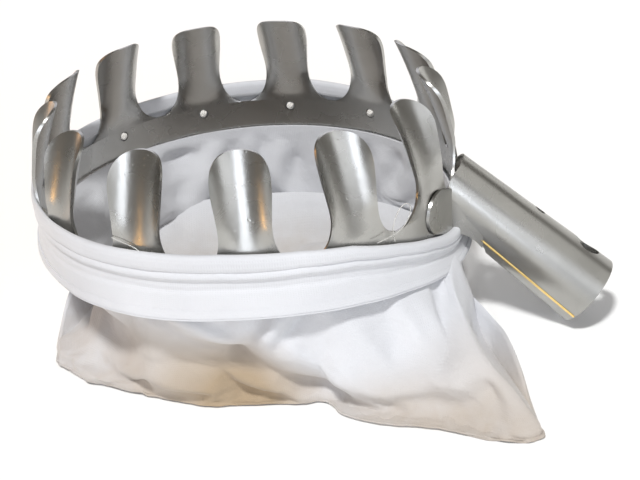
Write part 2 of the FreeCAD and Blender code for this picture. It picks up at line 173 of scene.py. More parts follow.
def cloth_grid(name: str, columns: int, rows: int, cut: tuple[float, float],
               place: Callable[[float, float], Vector]) -> bpy.types.Object:
    """Lay a flat grid of cloth, then bend it to its place.

    Args:
        name: The piece's name.
        columns: Faces across.
        rows: Faces down.
        cut: Width and length of the flat cloth, which its UV map keeps in metres.
        place: Gives the point, in millimetres, for shares across and down.

    Returns:
        The new mesh object at the origin.
    """
    deselect()
    bpy.ops.mesh.primitive_grid_add(x_subdivisions=columns, y_subdivisions=rows, size=1)
    piece = bpy.context.object
    piece.name = piece.data.name = name
    for vertex in piece.data.vertices:
        vertex.co = place(vertex.co.x + 0.5, vertex.co.y + 0.5) * MM
    for corner in piece.data.uv_layers.active.data:
        corner.uv = (corner.uv[0] * cut[0] * MM, corner.uv[1] * cut[1] * MM)
    return piece


def finish_piece(piece: bpy.types.Object, material: bpy.types.Material,
                 replaced: tuple[str, ...] = ()) -> bpy.types.Object:
    """Dress a new piece and tie it to the frame.

    Args:
        piece: The finished object.
        material: What it is made of.
        replaced: CAD nodes that it stands for.

    Returns:
        The same object.
    """
    piece.data.materials.clear()
    piece.data.materials.append(material)
    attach(piece, BODY)
    if replaced:
        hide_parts(*replaced)
    LOG.info("%s stands for %s", piece.name, ", ".join(replaced) or "a detail of its own")
    return piece


# ------------------------------------------------------------------ finishes
def add_node(tree: bpy.types.NodeTree, kind: str, settings: dict | None = None,
             links: dict | None = None) -> bpy.types.Node:
    """Add a node with its settings and links.

    Args:
        tree: The material's or world's node tree.
        kind: The node's type, without its ShaderNode prefix.
        settings: Values by attribute name, or by input name or number.
        links: Output sockets by input name or number.

    Returns:
        The new node.
    """
    node = tree.nodes.new("ShaderNode" + kind)
    for key, value in (settings or {}).items():
        if isinstance(key, str) and hasattr(node, key):
            setattr(node, key, value)
        else:
            node.inputs[key].default_value = value
    for key, socket in (links or {}).items():
        tree.links.new(socket, node.inputs[key])
    return node


def new_material(name: str) -> tuple[bpy.types.Material, bpy.types.NodeTree]:
    """Start a material with an empty node tree."""
    material = bpy.data.materials.new(name)
    material.use_nodes = True
    material.node_tree.nodes.clear()
    return material, material.node_tree


def close_surface(tree: bpy.types.NodeTree, settings: dict, links: dict | None = None) -> None:
    """End a material with its shader and output.

    Args:
        tree: The material's node tree.
        settings: The shader's constants by input name.
        links: Output sockets by input name.
    """
    shader = add_node(tree, "BsdfPrincipled", settings, links)
    add_node(tree, "OutputMaterial", None, {"Surface": shader.outputs[0]})


def wave_scale(spacing: float) -> float:
    """Scale of a wave texture, which makes 20 waves in a circle's turn, for bands this far apart."""
    return 2 * math.pi / 20 / (spacing * MM)


@dataclass(frozen=True)
class ShadePatch:
    """A soft round patch of painted shade on the cloth."""

    middle: tuple[float, float, float]
    reach: float
    strength: float
    core: float = 0.35           # share of the reach that is marked in full


@dataclass(frozen=True)
class GalvanisedSheet:
    """Hot-dip galvanised steel sheet, pressed after coating.

    It looks satin grey with faint crystal patches, fine rolling marks that stretch highlights,
    and small pimples of zinc.
    """

    name: str = "galvanised_sheet"
    bright: str = "#B9B8B4"
    dull: str = "#A09F9B"
    gloss_roughness: float = 0.22
    dull_roughness: float = 0.31
    spangle: float = 6.0         # width of a zinc crystal
    roll_mark: float = 0.5       # spacing of the rolling marks, drawn coarser to show
    roll_length: float = 18.0
    pimple: float = 2.2          # spacing of the zinc pimples

    def material(self) -> bpy.types.Material:
        """Make the sheet's material.

        Returns:
            A metal whose crystals, marks and pimples come from object coordinates.
        """
        material, tree = new_material(self.name)
        place = add_node(tree, "TexCoord").outputs["Object"]
        crystals = add_node(tree, "TexVoronoi", {"Scale": 1 / (self.spangle * MM)},
                            {"Vector": place})
        cloudy = add_node(tree, "TexNoise", {"Scale": 1 / (24 * MM), "Detail": 3}, {"Vector": place})
        marks_at = add_node(tree, "Mapping", {"Scale": (1 / (self.roll_mark * MM),
                            1 / (self.roll_mark * MM), 1 / (self.roll_length * MM))},
                            {"Vector": place})
        marks = add_node(tree, "TexNoise", {"Scale": 1, "Detail": 2}, {"Vector": marks_at.outputs[0]})
        pimples = add_node(tree, "TexVoronoi", {"Scale": 1 / (self.pimple * MM),
                           "feature": "SMOOTH_F1", "Randomness": 1.0}, {"Vector": place})
        peaks = add_node(tree, "MapRange", {"From Min": 0.0, "From Max": 0.12, "To Min": 1.0,
                         "To Max": 0.0}, {"Value": pimples.outputs["Distance"]})
        patch = add_node(tree, "SeparateColor", None, {0: crystals.outputs["Color"]})
        mixed = add_node(tree, "Math", {"operation": "MULTIPLY_ADD", 1: 0.12},
                         {0: patch.outputs[0], 2: cloudy.outputs["Fac"]})
        colour = add_node(tree, "Mix", {"data_type": "RGBA", 6: linear(self.dull),
                          7: linear(self.bright)}, {0: mixed.outputs[0]})
        rough = add_node(tree, "MapRange", {"From Min": 0.35, "From Max": 1.0,
                         "To Min": self.dull_roughness, "To Max": self.gloss_roughness},
                         {"Value": mixed.outputs[0]})
        grain = add_node(tree, "Bump", {"Strength": 0.35, "Distance": 0.03 * MM},
                         {"Height": marks.outputs["Fac"]})
        relief = add_node(tree, "Bump", {"Strength": 0.5, "Distance": 0.10 * MM},
                          {"Height": peaks.outputs[0], "Normal": grain.outputs[0]})
        close_surface(tree, {"Metallic": 1.0, "Anisotropic": 0.2},
                      {"Base Color": colour.outputs[2], "Roughness": rough.outputs[0],
                       "Normal": relief.outputs[0]})
        return material


@dataclass(frozen=True)
class GoldGlintBead:
    """Bead run along a seam, tinted warm yellow as a painted reflection of warm light: bright metal with
    small ripples.
    """

    name: str = "seam_bead_gold_reflection"
    # warm gold tint, a painted reflection of warm light on the seam's edge
    gold_glint: str = "#FFE7A6"
    dark_gold_glint: str = "#F0C468"
    ripple: float = 1.2          # length of a ripple along the bead

    def material(self) -> bpy.types.Material:
        """Make the bead's material, whose gold is a painted reflection."""
        material, tree = new_material(self.name)
        place = add_node(tree, "TexCoord").outputs["Object"]
        ripples = add_node(tree, "TexNoise", {"Scale": 1 / (self.ripple * MM)}, {"Vector": place})
        colour = add_node(tree, "Mix", {"data_type": "RGBA", 6: linear(self.dark_gold_glint),
                          7: linear(self.gold_glint)}, {0: ripples.outputs["Fac"]})
        relief = add_node(tree, "Bump", {"Strength": 0.3, "Distance": 0.1 * MM},
                          {"Height": ripples.outputs["Fac"]})
        close_surface(tree, {"Metallic": 1.0, "Roughness": 0.28},
                      {"Base Color": colour.outputs[2], "Normal": relief.outputs[0]})
        return material


@dataclass(frozen=True)
class WovenCotton:
    """Plain-woven bleached cotton sheeting, washed and crumpled.

    It scatters light softly with a faint fuzz, and shows its threads and fine crumples; a warm painted
    shade can darken it in patches and towards the bottom.
    """

    name: str
    cloth: str = "#DBDCDF"
    worn: str = "#C7C8CC"
    painted_shade_tint: str = "#A39076"     # warm painted shade, for the patches and the low band
    thread: float = 0.9          # spacing; real threads are 0.4, too fine to show
    crumple: float = 9.0
    crumple_depth: float = 0.9
    painted_shade_below: float = 0.0    # height under which the warm painted shade shows
    # patches of painted shade
    shade_patches: tuple[ShadePatch, ...] = ()

    def material(self) -> bpy.types.Material:
        """Make the cloth's material.

        Returns:
            A soft cloth whose threads follow its UV map, which is in metres.
        """
        material, tree = new_material(self.name)
        coords = add_node(tree, "TexCoord")
        place, across = coords.outputs["Object"], coords.outputs["UV"]
        bands = [add_node(tree, "TexWave", {"wave_type": "BANDS", "bands_direction": axis,
                          "Scale": wave_scale(self.thread), "Distortion": 0.6, "Detail": 1.0,
                          "Detail Scale": 0.3}, {"Vector": across}) for axis in ("X", "Y")]
        weave = add_node(tree, "Math", {"operation": "MAXIMUM"},
                         {0: bands[0].outputs["Fac"], 1: bands[1].outputs["Fac"]})
        folds = add_node(tree, "TexNoise", {"Scale": 1 / (self.crumple * MM), "Detail": 5,
                         "Roughness": 0.55, "Distortion": 0.4}, {"Vector": place})
        tone = add_node(tree, "TexNoise", {"Scale": 1 / (45 * MM), "Detail": 3}, {"Vector": place})
        colour = add_node(tree, "Mix", {"data_type": "RGBA", 6: linear(self.cloth),
                          7: linear(self.worn)}, {0: tone.outputs["Fac"]})
        shade = colour.outputs[2]
        # Patches of painted shade: the shade tint is mixed in fully at their core and fades out to their
        # reach.
        for shade_patch in self.shade_patches:
            away = add_node(tree, "VectorMath", {"operation": "DISTANCE",
                            1: tuple(MM * value for value in shade_patch.middle)}, {0: place})
            near = add_node(tree, "MapRange", {"From Min": shade_patch.core * shade_patch.reach * MM,
                            "From Max": shade_patch.reach * MM, "To Min": shade_patch.strength, "To Max": 0.0},
                            {"Value": away.outputs["Value"]})
            shade = add_node(tree, "Mix", {"data_type": "RGBA", 7: linear(self.painted_shade_tint)},
                             {0: near.outputs[0], 6: shade}).outputs[2]
        # Painted warm shade, darker towards the bottom and broken up by the crumples.
        if self.painted_shade_below > 0:
            height = add_node(tree, "SeparateXYZ", None, {0: place})
            low = add_node(tree, "MapRange", {"From Min": 0.0, "From Max": self.painted_shade_below * MM,
                           "To Min": 0.8, "To Max": 0.0}, {"Value": height.outputs["Z"]})
            part = add_node(tree, "Math", {"operation": "MULTIPLY"},
                            {0: low.outputs[0], 1: folds.outputs["Fac"]})
            shade = add_node(tree, "Mix", {"data_type": "RGBA", 7: linear(self.painted_shade_tint)},
                             {0: part.outputs[0], 6: shade}).outputs[2]
        threads = add_node(tree, "Bump", {"Strength": 0.5, "Distance": 0.10 * MM},
                           {"Height": weave.outputs[0]})
        relief = add_node(tree, "Bump", {"Strength": 0.8, "Distance": self.crumple_depth * MM},
                          {"Height": folds.outputs["Fac"], "Normal": threads.outputs[0]})
        close_surface(tree, {"Roughness": 0.92, "Sheen Weight": 0.25, "Sheen Roughness": 0.5,
                      "Specular IOR Level": 0.25}, {"Base Color": shade, "Normal": relief.outputs[0]})
        return material


@dataclass(frozen=True)
class TwistedThread:
    """Twisted white lashing thread: matt, with fine slanting plies and painted shade in the grooves between
    them.
    """

    name: str = "twisted_lashing_thread"
    fibre: str = "#EFEDE8"
    # painted shade in the grooves between the plies
    groove_shade: str = "#CFCBC4"
    ply: float = 0.6             # width of one ply

    def material(self) -> bpy.types.Material:
        """Make the thread's material."""
        material, tree = new_material(self.name)
        place = add_node(tree, "TexCoord").outputs["Object"]
        plies = add_node(tree, "TexWave", {"bands_direction": "DIAGONAL", "Distortion": 1.0,
                         "Scale": wave_scale(self.ply)}, {"Vector": place})
        colour = add_node(tree, "Mix", {"data_type": "RGBA", 6: linear(self.groove_shade),
                          7: linear(self.fibre)}, {0: plies.outputs["Fac"]})
        relief = add_node(tree, "Bump", {"Strength": 0.6, "Distance": 0.1 * MM},
                          {"Height": plies.outputs["Fac"]})
        close_surface(tree, {"Roughness": 0.7, "Sheen Weight": 0.2},
                      {"Base Color": colour.outputs[2], "Normal": relief.outputs[0]})
        return material


@dataclass(frozen=True)
class ClearNylon:
    """Drawn nylon monofilament: clear, slightly milky, with a bright thin highlight."""

    name: str = "drawn_nylon_monofilament"
    tint: str = "#F4F4F0"
    milky: str = "#E4E2DC"

    def material(self) -> bpy.types.Material:
        """Make the filament's material."""
        material, tree = new_material(self.name)
        place = add_node(tree, "TexCoord").outputs["Object"]
        haze = add_node(tree, "TexNoise", {"Scale": 1 / (3 * MM)}, {"Vector": place})
        colour = add_node(tree, "Mix", {"data_type": "RGBA", 6: linear(self.tint),
                          7: linear(self.milky)}, {0: haze.outputs["Fac"]})
        close_surface(tree, {"Roughness": 0.18, "IOR": 1.53, "Transmission Weight": 0.55},
                      {"Base Color": colour.outputs[2]})
        return material


# ------------------------------------------------------------------ steel
@dataclass
class Steelwork:
    """The toothed crown and the pole socket, which keep their CAD shapes."""

    crown_sheet: GalvanisedSheet = GalvanisedSheet("galvanised_crown_sheet")
    socket_sheet: GalvanisedSheet = GalvanisedSheet("galvanised_socket_sheet", roll_length=40.0)

    seam_turn: float = 118.0     # from the socket's top line round to its seam
    seam_start: float = 23.6     # along the socket
    seam_end: float = 71.0
    bead_radius: float = 0.55
    slope: float = 41.4          # the socket's axis below the horizontal
    start: tuple[float, float, float] = (76.8, 0, GAP_LEVEL - 1.0)
    small: float = 11.6          # the socket's outside radius at its start and at its mouth
    mouth: float = 14.4

    def on_seam(self, along: float) -> Vector:
        """Point on the socket's skin at its seam, at a distance along it."""
        tilt = math.radians(self.slope)
        axis = Vector((math.cos(tilt), 0, -math.sin(tilt)))
        top = Vector((math.sin(tilt), 0, math.cos(tilt)))
        outward = Matrix.Rotation(math.radians(self.seam_turn), 3, axis) @ top
        radius = self.small + (self.mouth - self.small) * along / self.seam_end
        return Vector(self.start) + axis * along + outward * (radius - 0.1)

    def seam(self) -> bpy.types.Object:
        """Fill the socket's seam with a thin bead, rippled along its length; its gold colour is a painted
        reflection.
        """
        first, last = self.on_seam(self.seam_start), self.on_seam(self.seam_end - 0.3)
        run = last - first
        deselect()
        bpy.ops.mesh.primitive_cylinder_add(vertices=16, radius=self.bead_radius * MM,
                                            depth=run.length * MM, end_fill_type="TRIFAN")
        bead = bpy.context.object
        bead.name = bead.data.name = "socket_seam_bead"
        bpy.ops.object.mode_set(mode="EDIT")
        bpy.ops.mesh.select_all(action="SELECT")
        bpy.ops.mesh.bisect(plane_co=(0, 0, 0), plane_no=(0, 0, 1))
        bpy.ops.object.mode_set(mode="OBJECT")
        apply_modifier(bead, "SUBSURF", levels=2, render_levels=2, subdivision_type="SIMPLE")
        turn = run.to_track_quat("Z", "Y").to_matrix()
        for vertex in bead.data.vertices:
            swell = 1 + 0.12 * wander(0, 0, vertex.co.z / (2.5 * MM))
            flat = Vector((vertex.co.x * swell, vertex.co.y * swell, vertex.co.z))
            vertex.co = turn @ flat + (first + last) / 2 * MM
        smooth_shade(bead, 50)
        return bead

    def build(self) -> None:
        """Dress the steel and lay a gold-tinted bead along its seam, its gold a painted reflection."""
        self.dress()
        finish_piece(self.seam(), GoldGlintBead().material())

    def dress(self) -> None:
        """Give both carried-over nodes their sheet metal."""
        for node, sheet in (("toothed_ring", self.crown_sheet), ("pole_socket", self.socket_sheet)):
            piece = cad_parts[node]
            piece.data.materials.clear()
            piece.data.materials.append(sheet.material())
            LOG.info("%s keeps its CAD shape", node)


# ------------------------------------------------------------------ cuff
@dataclass
class Cuff:
    """The cotton cuff round the crown: a rolled hem above a plain turned facing."""

    top: float = 8.0             # hem's upper edge over the gap bottoms
    foot: float = 16.0           # facing's lower edge under them
    hem_height: float = 6.8
    hem_at_socket: float = 4.4
    hem_dip: float = 27.8        # how far the hem drops to pass under the socket
    foot_dip: float = 14.5
    inner: float = 81.0          # radius of the cloth against the crown
    hem_thick: float = 3.4
    hem_turns: float = 1.4
    hem_strip: float = 19.0      # flat width of the strip that is rolled
    hem_cloth: float = 0.5
    hem_tuck: float = 0.42       # how much the tucked end inside is smaller than the roll
    seam_radius: float = 83.0    # where the cuff's two pieces meet
    facing_foot: float = 86.0    # the facing stands away from the bag at its foot
    cloth: float = 0.9
    columns: int = 264
    dip_shape: tuple[tuple[float, float], ...] = (
        (-100, 0), (10, 0), (37, 0.08), (53, 0.2), (67, 0.42), (76, 0.63), (82, 0.84), (90, 1.1))
    finish: WovenCotton = WovenCotton("bleached_cotton_cuff", crumple=14.0, crumple_depth=0.5)

    def level(self, angle: float, start: float, dip: float) -> float:
        """Height of an edge of the cuff round the crown.

        Args:
            angle: Direction from the ring's axis, in radians.
            start: Height away from the socket.
            dip: Drop under the socket.

        Returns:
            Height over the bag's base.
        """
        return GAP_LEVEL + start - dip * ramp(self.seam_radius * math.cos(angle), self.dip_shape)

    def hem_depth(self, angle: float) -> float:
        """Height of the rolled hem, which thins as it passes under the socket."""
        share = smooth((self.seam_radius * math.cos(angle) - 10) / 72)
        return self.hem_height + (self.hem_at_socket - self.hem_height) * share

    def looseness(self, angle: float) -> float:
        """How loose the cloth is: most on the side away from the socket."""
        return 0.55 + 0.45 * smooth((-math.cos(angle) - 0.2) / 0.8)

    def slim(self, angle: float) -> float:
        """Share by which the cuff hugs the crown on the side away from the socket."""
        return smooth((-math.cos(angle) - 0.45) / 0.45)

    def hem_point(self, angle: float, along: float) -> Vector:
        """Point on the rolled strip: round the hem once, then tucked up inside itself.

        Args:
            angle: Direction round the crown, in radians.
            along: Share of the strip's width, from the edge against the crown.

        Returns:
            The point in millimetres.
        """
        loose = self.looseness(angle)
        turn = math.radians(-100 - 360 * self.hem_turns * along)
        tucked = smooth((along * self.hem_turns - 0.96) / 0.12)
        scale = 1 - self.hem_tuck * tucked
        half = self.hem_depth(angle) / 2
        ripple = wander(3.1 * math.cos(angle), 3.1 * math.sin(angle), 4.0)
        fine = wander(9 * math.cos(angle), 9 * math.sin(angle), 2.0 + math.sin(turn))
        out = math.copysign(abs(math.cos(turn)) ** 0.8, math.cos(turn)) * scale
        up = math.copysign(abs(math.sin(turn)) ** 0.75, math.sin(turn)) * scale
        thick = self.hem_thick * (1 - 0.45 * self.slim(angle))
        radius = self.inner + thick / 2 * (1 + out) + loose * (0.4 * ripple + 0.25 * fine)
        radius = max(radius, self.inner)
        height = self.level(angle, self.top, self.hem_dip) - half + half * up
        height += loose * 0.6 * ripple
        return Vector((radius * math.cos(angle), radius * math.sin(angle), height))

    def rolled_hem(self) -> bpy.types.Object:
        """Roll a strip of cloth into the tall, slightly slack hem."""
        around = 2 * math.pi * (self.inner + self.hem_thick / 2)
        hem = cloth_grid("cuff_rolled_hem_cloth", self.columns, 40, (around, self.hem_strip),
                         lambda u, v: self.hem_point((u - 0.5) * 2 * math.pi, v))
        tidy_mesh(hem)
        apply_modifier(hem, "SOLIDIFY", thickness=self.hem_cloth * MM, offset=-1.0)
        smooth_shade(hem, 60)
        return hem

    def facing_point(self, angle: float, down: float) -> Vector:
        """Point on the facing: a lip under the hem, a crease, then a flare to a turned foot.

        Args:
            angle: Direction round the crown, in radians.
            down: Share of the way from the hidden top edge to the turned-up end inside.

        Returns:
            The point in millimetres.
        """
        loose = self.looseness(angle)
        high = self.level(angle, self.top, self.hem_dip) - self.hem_depth(angle)
        low = self.level(angle, -self.foot, self.foot_dip)
        deep = high - low
        share = ramp(down, ((0, -0.12), (0.08, 0.02), (0.86, 1.0), (0.89, 1.0), (1.0, 0.8)))
        stand = ramp(down, ((0, 0.9), (0.05, 2.5), (0.11, 3.3), (0.17, 3.1), (0.21, 2.2), (0.26, 2.1),
                            (0.5, 3.2), (0.86, 5.0), (0.89, 4.4), (1.0, 3.4)))
        crease_at = 0.38 + 0.06 * wander(2 * math.cos(angle), 2 * math.sin(angle), 9)
        crease = bell(share, crease_at, 0.05)
        wave = wander(4 * math.cos(angle), 4 * math.sin(angle), 1.5 * share)
        sag = wander(2.2 * math.cos(angle), 2.2 * math.sin(angle), 7.0)
        flare = (self.facing_foot - self.inner) * (1 - 0.5 * self.slim(angle))
        radius = self.inner + stand * flare / 5 - 0.5 * crease
        radius += loose * 0.8 * wave * smooth(share * 2)
        height = high - deep * share + (0.9 * sag * smooth(share)) * loose
        return Vector((radius * math.cos(angle), radius * math.sin(angle), height))

    def facing(self) -> bpy.types.Object:
        """Model the facing as a closed band of cloth with thickness."""
        around = 2 * math.pi * self.facing_foot
        piece = cloth_grid("cuff_facing_cloth", self.columns, 34, (around, 30.0),
                           lambda u, v: self.facing_point((u - 0.5) * 2 * math.pi, 1 - v))
        tidy_mesh(piece)
        apply_modifier(piece, "SOLIDIFY", thickness=self.cloth * MM, offset=-1.0,
                       use_even_offset=True)
        smooth_shade(piece, 60)
        return piece

    def build(self) -> None:
        """Make both pieces of the cuff and dress them."""
        cotton = self.finish.material()
        hem = finish_piece(self.rolled_hem(), cotton, ("cuff_rolled_hem",))
        facing = finish_piece(self.facing(), cotton, ("cuff_facing",))


# ------------------------------------------------------------------ bag
@dataclass(frozen=True)
class Fold:
    """A fold pressed in the bag along a line on one of its panels."""

    side: Side
    line: tuple[tuple[float, float], ...]    # X and height of its points
    width: float
    depth: float                             # positive for a valley, negative for a ridge


@dataclass
class CatchingBag:
    """The cotton bag: a front and a back panel sewn at the sides and along the front of the base."""

    neck_radius: float = 80.0
    neck_top: float = 48.6
    doubled_neck: float = 1.3    # the neck is doubled and stands in by this
    doubled_from: float = 42.0
    floor: float = 0.9
    columns: int = 84
    wall_rows: int = 24
    base_rows: int = 44
    cloth: float = 0.7
    turn_in: float = 1.6         # the wall has turned to its outline's direction at 1 / this flare
    growth: float = 0.04         # the cloth is cut this much too large for its shape, and buckles
    frames: int = 26
    heap: float = 26.0           # the slack cloth of the base is pushed up along the back
    travel: float = 3.5          # farthest that a point moves as it buckles
    held_above: float = 44.0     # the neck is sewn to the cuff above this
    neck_grip: float = 0.3
    slack_grip: float = 0.04
    rests_below: float = 1.6     # the foot lies on the ground below this
    rest_grip: float = 0.6
    loose_count: int = 20
    left_corner: tuple[float, float] = (-71, -48)
    right_corner: tuple[float, float] = (119, -83)
    front_outline: tuple[tuple[float, float], ...] = (
        (-60, -55), (-32, -66), (8, -70), (36, -66), (47, -75), (62, -80), (82, -82), (107, -88))
    back_outline: tuple[tuple[float, float], ...] = (
        (105, -43), (85, -6), (77, 28), (52, 60), (6, 76), (-42, 66), (-72, 36), (-75, -8),
        (-76, -34))
    # height, flare from the neck to the outline, and how far the side away from the socket is drawn in
    wall: tuple[tuple[float, float, float], ...] = (
        (48.6, 0, 0), (41.5, 0, 0.06), (33, 0.1, 0.23), (22, 0.36, 0.26), (13, 0.76, 0.15),
        (7, 1.0, 0.0), (1.8, 0.985, 0), (0.9, 0.95, 0))
    # The bag's patches and its low band are painted shade: under the belly's overhang, on the drawn-in left
    # side, at the right corner and along the foot.
    finish: WovenCotton = WovenCotton(
        "bleached_cotton_bag", painted_shade_below=18.0, crumple_depth=0.7,
        shade_patches=(ShadePatch((8, -72, 3), 34, 0.95), ShadePatch((-22, -66, 17), 34, 0.5),
                ShadePatch((-62, -44, 30), 30, 0.25), ShadePatch((112, -84, 8), 50, 0.42),
                ShadePatch((66, -82, 2), 26, 0.25)))
    folds: list[Fold] = field(default_factory=list)

    def __post_init__(self) -> None:
        """Lay out the panels' outlines and their folds."""
        self.neck_sweeps = {Side.FRONT: (-176, 172), Side.BACK: (-4, 188)}    # degrees round the neck
        front = (self.left_corner, *self.front_outline, self.right_corner)
        back = (self.right_corner, *self.back_outline, self.left_corner)
        self.outlines = {Side.FRONT: self.spaced(front), Side.BACK: self.spaced(back)}
        ring = np.vstack([self.outlines[Side.FRONT][:-1], self.outlines[Side.BACK][:-1]])
        self.polar = (np.arctan2(ring[:, 1], ring[:, 0]), np.hypot(ring[:, 0], ring[:, 1]))
        self.folds = [*self.front_folds(), *self.loose_folds()]

    @staticmethod
    def spaced(points: tuple[tuple[float, float], ...]) -> np.ndarray:
        """Space points evenly along a smooth line through an outline's points.

        Args:
            points: X and Y of the outline.

        Returns:
            An array with a row of X and Y for each end of the steps.
        """
        knots = np.array([points[0], *points, points[-1]], float)
        steps = np.linspace(0, 1, 21)[:-1, None]
        curve = []
        for a, b, c, d in zip(knots, knots[1:], knots[2:], knots[3:]):
            curve.append(0.5 * (2 * b + (c - a) * steps + (2 * a - 5 * b + 4 * c - d) * steps ** 2
                                + (3 * b - a - 3 * c + d) * steps ** 3))
        curve = np.vstack([*curve, knots[-1:]])
        along = np.concatenate([[0], np.cumsum(np.linalg.norm(np.diff(curve, axis=0), axis=1))])
        even = np.linspace(0, along[-1], OUTLINE_STEPS + 1)
        return np.stack([np.interp(even, along, curve[:, i]) for i in (0, 1)], axis=1)

    def front_folds(self) -> list[Fold]:
        """Folds of the front panel, from the tuck under the cuff to the crumpled foot."""
        shapes = (
            (((-72, 27), (-20, 26), (14, 27)), 9, 7.0),
            (((21, 43), (15, 30)), 2.4, 2.6),
            (((28, 43), (20, 30)), 2.8, -1.8),
            (((36, 42), (25, 29)), 2.4, 3.2),
            (((-18, 42), (-8, 34), (1, 30), (12, 27)), 2.6, 3.0),
            (((-8, 42), (4, 35), (14, 30)), 2.4, -1.8),
            (((-30, 20), (-10, 21), (12, 26)), 2.2, 2.0),
            (((13, 24), (27, 15), (43, 7), (67, 7), (89, 9), (100, 16)), 5.0, 6.5),
            (((22, 30), (40, 19), (67, 16), (88, 21)), 8.0, -3.4),
            (((46, 12), (64, 10), (80, 12)), 2.0, 1.6),
            (((-55, 10), (-44, 9), (-30, 7)), 3.0, 4.0),
            (((-64, 14), (-54, 4)), 4.0, -3.0),
            (((-24, 22), (-18, 12), (-4, 6)), 8.0, -3.6),
            (((2, 20), (10, 8)), 4.5, 3.6),
            (((24, 12), (30, 4)), 5.0, -3.0),
            (((109, 15), (98, 6)), 2.4, 2.8),
            (((95, 27), (101, 13)), 3.0, 2.6),
            (((73, 35), (80, 22)), 3.4, -2.0),
        )
        return [Fold(Side.FRONT, line, width, depth) for line, width, depth in shapes]

    def loose_folds(self) -> list[Fold]:
        """Slanting folds that the back panel falls into, from a fixed draw."""
        draw = random.Random(13)
        folds = []
        for number in range(self.loose_count):
            x = -70 + 155 * number / (self.loose_count - 1) + draw.uniform(-4, 4)
            top, run = draw.uniform(30, 42), draw.uniform(-22, 22)
            line = ((x, top), (x + run * 0.5, top * 0.6), (x + run, draw.uniform(4, 12)))
            folds.append(Fold(Side.BACK, line, draw.uniform(3, 6), draw.uniform(2, 4) * (-1) ** number))
        return folds

    def section(self, side: Side, share: float, height: float) -> Vector:
        """Point of a panel's wall before its folds are pressed in.

        Args:
            side: Which panel.
            share: Place from the panel's first corner to its last.
            height: Height over the floor.

        Returns:
            The point in millimetres.
        """
        levels = self.wall[::-1]
        out = self.spread(side, share, ramp(height, tuple((z, blend) for z, blend, _ in levels)))
        pull = ramp(height, tuple((z, drawn) for z, _, drawn in levels))
        spot = share * OUTLINE_STEPS
        low = int(min(OUTLINE_STEPS - 1, spot))
        outline = self.outlines[side]
        foot = outline[low] + (outline[low + 1] - outline[low]) * (spot - low)
        first, sweep = self.neck_sweeps[side]
        start = math.radians(first + sweep * share)
        swing = (math.atan2(foot[1], foot[0]) - start + math.pi) % (2 * math.pi) - math.pi
        angle = start + swing * smooth(out * self.turn_in)
        doubled = self.doubled_neck * smooth((height - self.doubled_from) / 1.5)
        neck = self.neck_radius - doubled
        radius = neck + (self.reach(angle) - neck) * out
        x, y = radius * math.cos(angle), radius * math.sin(angle)
        if x < 0:
            x *= 1 - pull * smooth(-x / 60)
        return Vector((x, y, height))

    @staticmethod
    def spread(side: Side, share: float, out: float) -> float:
        """Shape the flare: the right corner stands out high up, the side behind it hangs straight.

        Args:
            side: Which panel.
            share: Place from the panel's first corner to its last.
            out: Flare from the neck, 0, to the widest outline, 1.

        Returns:
            The shaped flare.
        """
        past = 1 - share if side is Side.FRONT else share
        corner = bell(past, 0.0, 0.11)
        behind = bell(share, 0.24, 0.11) * smooth(share / 0.08) if side is Side.BACK else 0.0
        return out ** (1 - 0.62 * corner + 1.4 * behind) if out > 0 else 0.0

    def reach(self, angle: float) -> float:
        """Radius of the bag's widest outline in a direction."""
        return float(np.interp(angle, *self.polar, period=2 * math.pi))

    def pressed(self, side: Side, share: float, height: float) -> Vector:
        """Point of a panel's wall with its folds."""
        point = self.section(side, share, height)
        ahead = self.section(side, min(1, share + 0.01), height)
        behind = self.section(side, max(0, share - 0.01), height)
        outward = (ahead - behind).cross(Vector((0, 0, 1))).normalized()
        moved = sum(self.fold_depth(fold, point.x, height) for fold in self.folds if fold.side is side)
        fade = smooth(share / 0.06) * smooth((1 - share) / 0.06) * smooth((46 - height) / 5)
        return point - outward * moved * fade

    @staticmethod
    def fold_depth(fold: Fold, x: float, height: float) -> float:
        """Depth of a fold at a place on its panel.

        Args:
            fold: The fold.
            x: Place along X.
            height: Place over the floor.

        Returns:
            How far in the cloth is pressed there.
        """
        spot, near = np.array([x, height]), math.inf
        for start, end in zip(fold.line, fold.line[1:]):
            a, b = np.array(start, float), np.array(end, float)
            along = float(np.clip((spot - a) @ (b - a) / ((b - a) @ (b - a)), 0, 1))
            near = min(near, float(np.linalg.norm(spot - a - (b - a) * along)))
        return fold.depth * bell(near, 0.0, fold.width)

    def front_point(self, share: float, down: float) -> Vector:
        """Point of the front panel from the neck, 0, down to the seam at its foot, 1."""
        return self.pressed(Side.FRONT, share, self.neck_top + (self.floor - self.neck_top) * down)

    def back_point(self, share: float, down: float) -> Vector:
        """Point of the back panel: down its wall, then under the bag to the front seam."""
        wall_share = self.wall_rows / (self.wall_rows + self.base_rows)
        if down <= wall_share:
            height = self.neck_top + (self.floor - self.neck_top) * down / wall_share
            return self.pressed(Side.BACK, share, height)
        across = (down - wall_share) / (1 - wall_share)
        start = self.section(Side.BACK, share, self.floor)
        end = self.section(Side.FRONT, 1 - share, self.floor)
        point = start.lerp(end, across)
        inside = smooth(across / 0.15) * smooth((1 - across) / 0.15)
        lumps = abs(wander(point.x / 26, point.y / 17, 3)) + 0.4 * abs(wander(point.x / 9, point.y / 12, 8))
        heap = smooth(across / 0.02) * max(0.0, 1 - across / 0.6) ** 3
        ends = smooth(share / 0.1) * smooth((1 - share) / 0.1)
        return point + Vector((0, 0, ends * (self.heap * heap + 9 * inside * lumps)))

